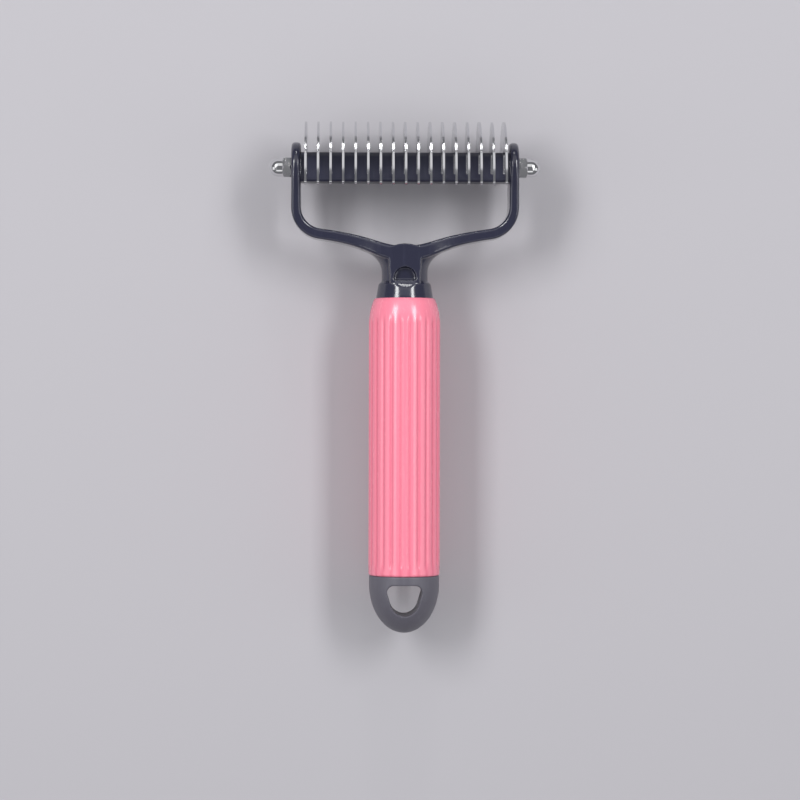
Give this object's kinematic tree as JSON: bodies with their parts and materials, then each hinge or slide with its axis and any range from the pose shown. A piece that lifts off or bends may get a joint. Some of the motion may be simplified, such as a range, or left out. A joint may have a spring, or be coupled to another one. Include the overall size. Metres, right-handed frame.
{
  "type": "dematting comb",
  "caption": "Two-sided dematting comb: sickle blades on an axle between the arms of a yoke, over a fluted grip with a hanging eye.",
  "frame": {"origin": "middle of the comb's bounding box: half way along its length, on the middle line of the grip", "axes": "+X along the blade axle to the right, +Y from the grip towards the head, +Z to the fine side with 17 hooks"},
  "size_m": [0.0988, 0.1864, 0.0438],
  "materials": {
    "black_plastic": "glossy moulded plastic, blue-black",
    "holder_plastic": "satin moulded plastic, blue-black",
    "pink_plastic": "glossy moulded plastic, pink",
    "grey_plastic": "satin moulded plastic, mid grey",
    "blade_steel": "polished stainless steel with ground cutting edges",
    "nut_chrome": "bright chrome plating",
    "axle_steel": "zinc-plated steel rod with cut thread"
  },
  "bodies": {
    "comb": {"yoke": "black_plastic", "grip": "pink_plastic", "end_cap": "grey_plastic", "blade_holder": "holder_plastic", "axle": "axle_steel", "blade_01": "blade_steel", "blade_02": "blade_steel", "blade_03": "blade_steel", "blade_04": "blade_steel", "blade_05": "blade_steel", "blade_06": "blade_steel", "blade_07": "blade_steel", "blade_08": "blade_steel", "blade_09": "blade_steel", "blade_10": "blade_steel", "blade_11": "blade_steel", "blade_12": "blade_steel", "blade_13": "blade_steel", "blade_14": "blade_steel", "blade_15": "blade_steel", "blade_16": "blade_steel", "blade_17": "blade_steel"},
    "left_nut": {"nut_left": "nut_chrome"},
    "right_nut": {"nut_right": "nut_chrome"}
  },
  "joints": [
    {"name": "left_nut_turn", "type": "hinge", "parent": "comb", "child": "left_nut", "pos_m": [-0.0454, 0.0764, 0], "axis": [1, 0, 0], "continuous": true},
    {"name": "right_nut_turn", "type": "hinge", "parent": "comb", "child": "right_nut", "pos_m": [0.0454, 0.0764, 0], "axis": [1, 0, 0], "continuous": true}
  ]
}
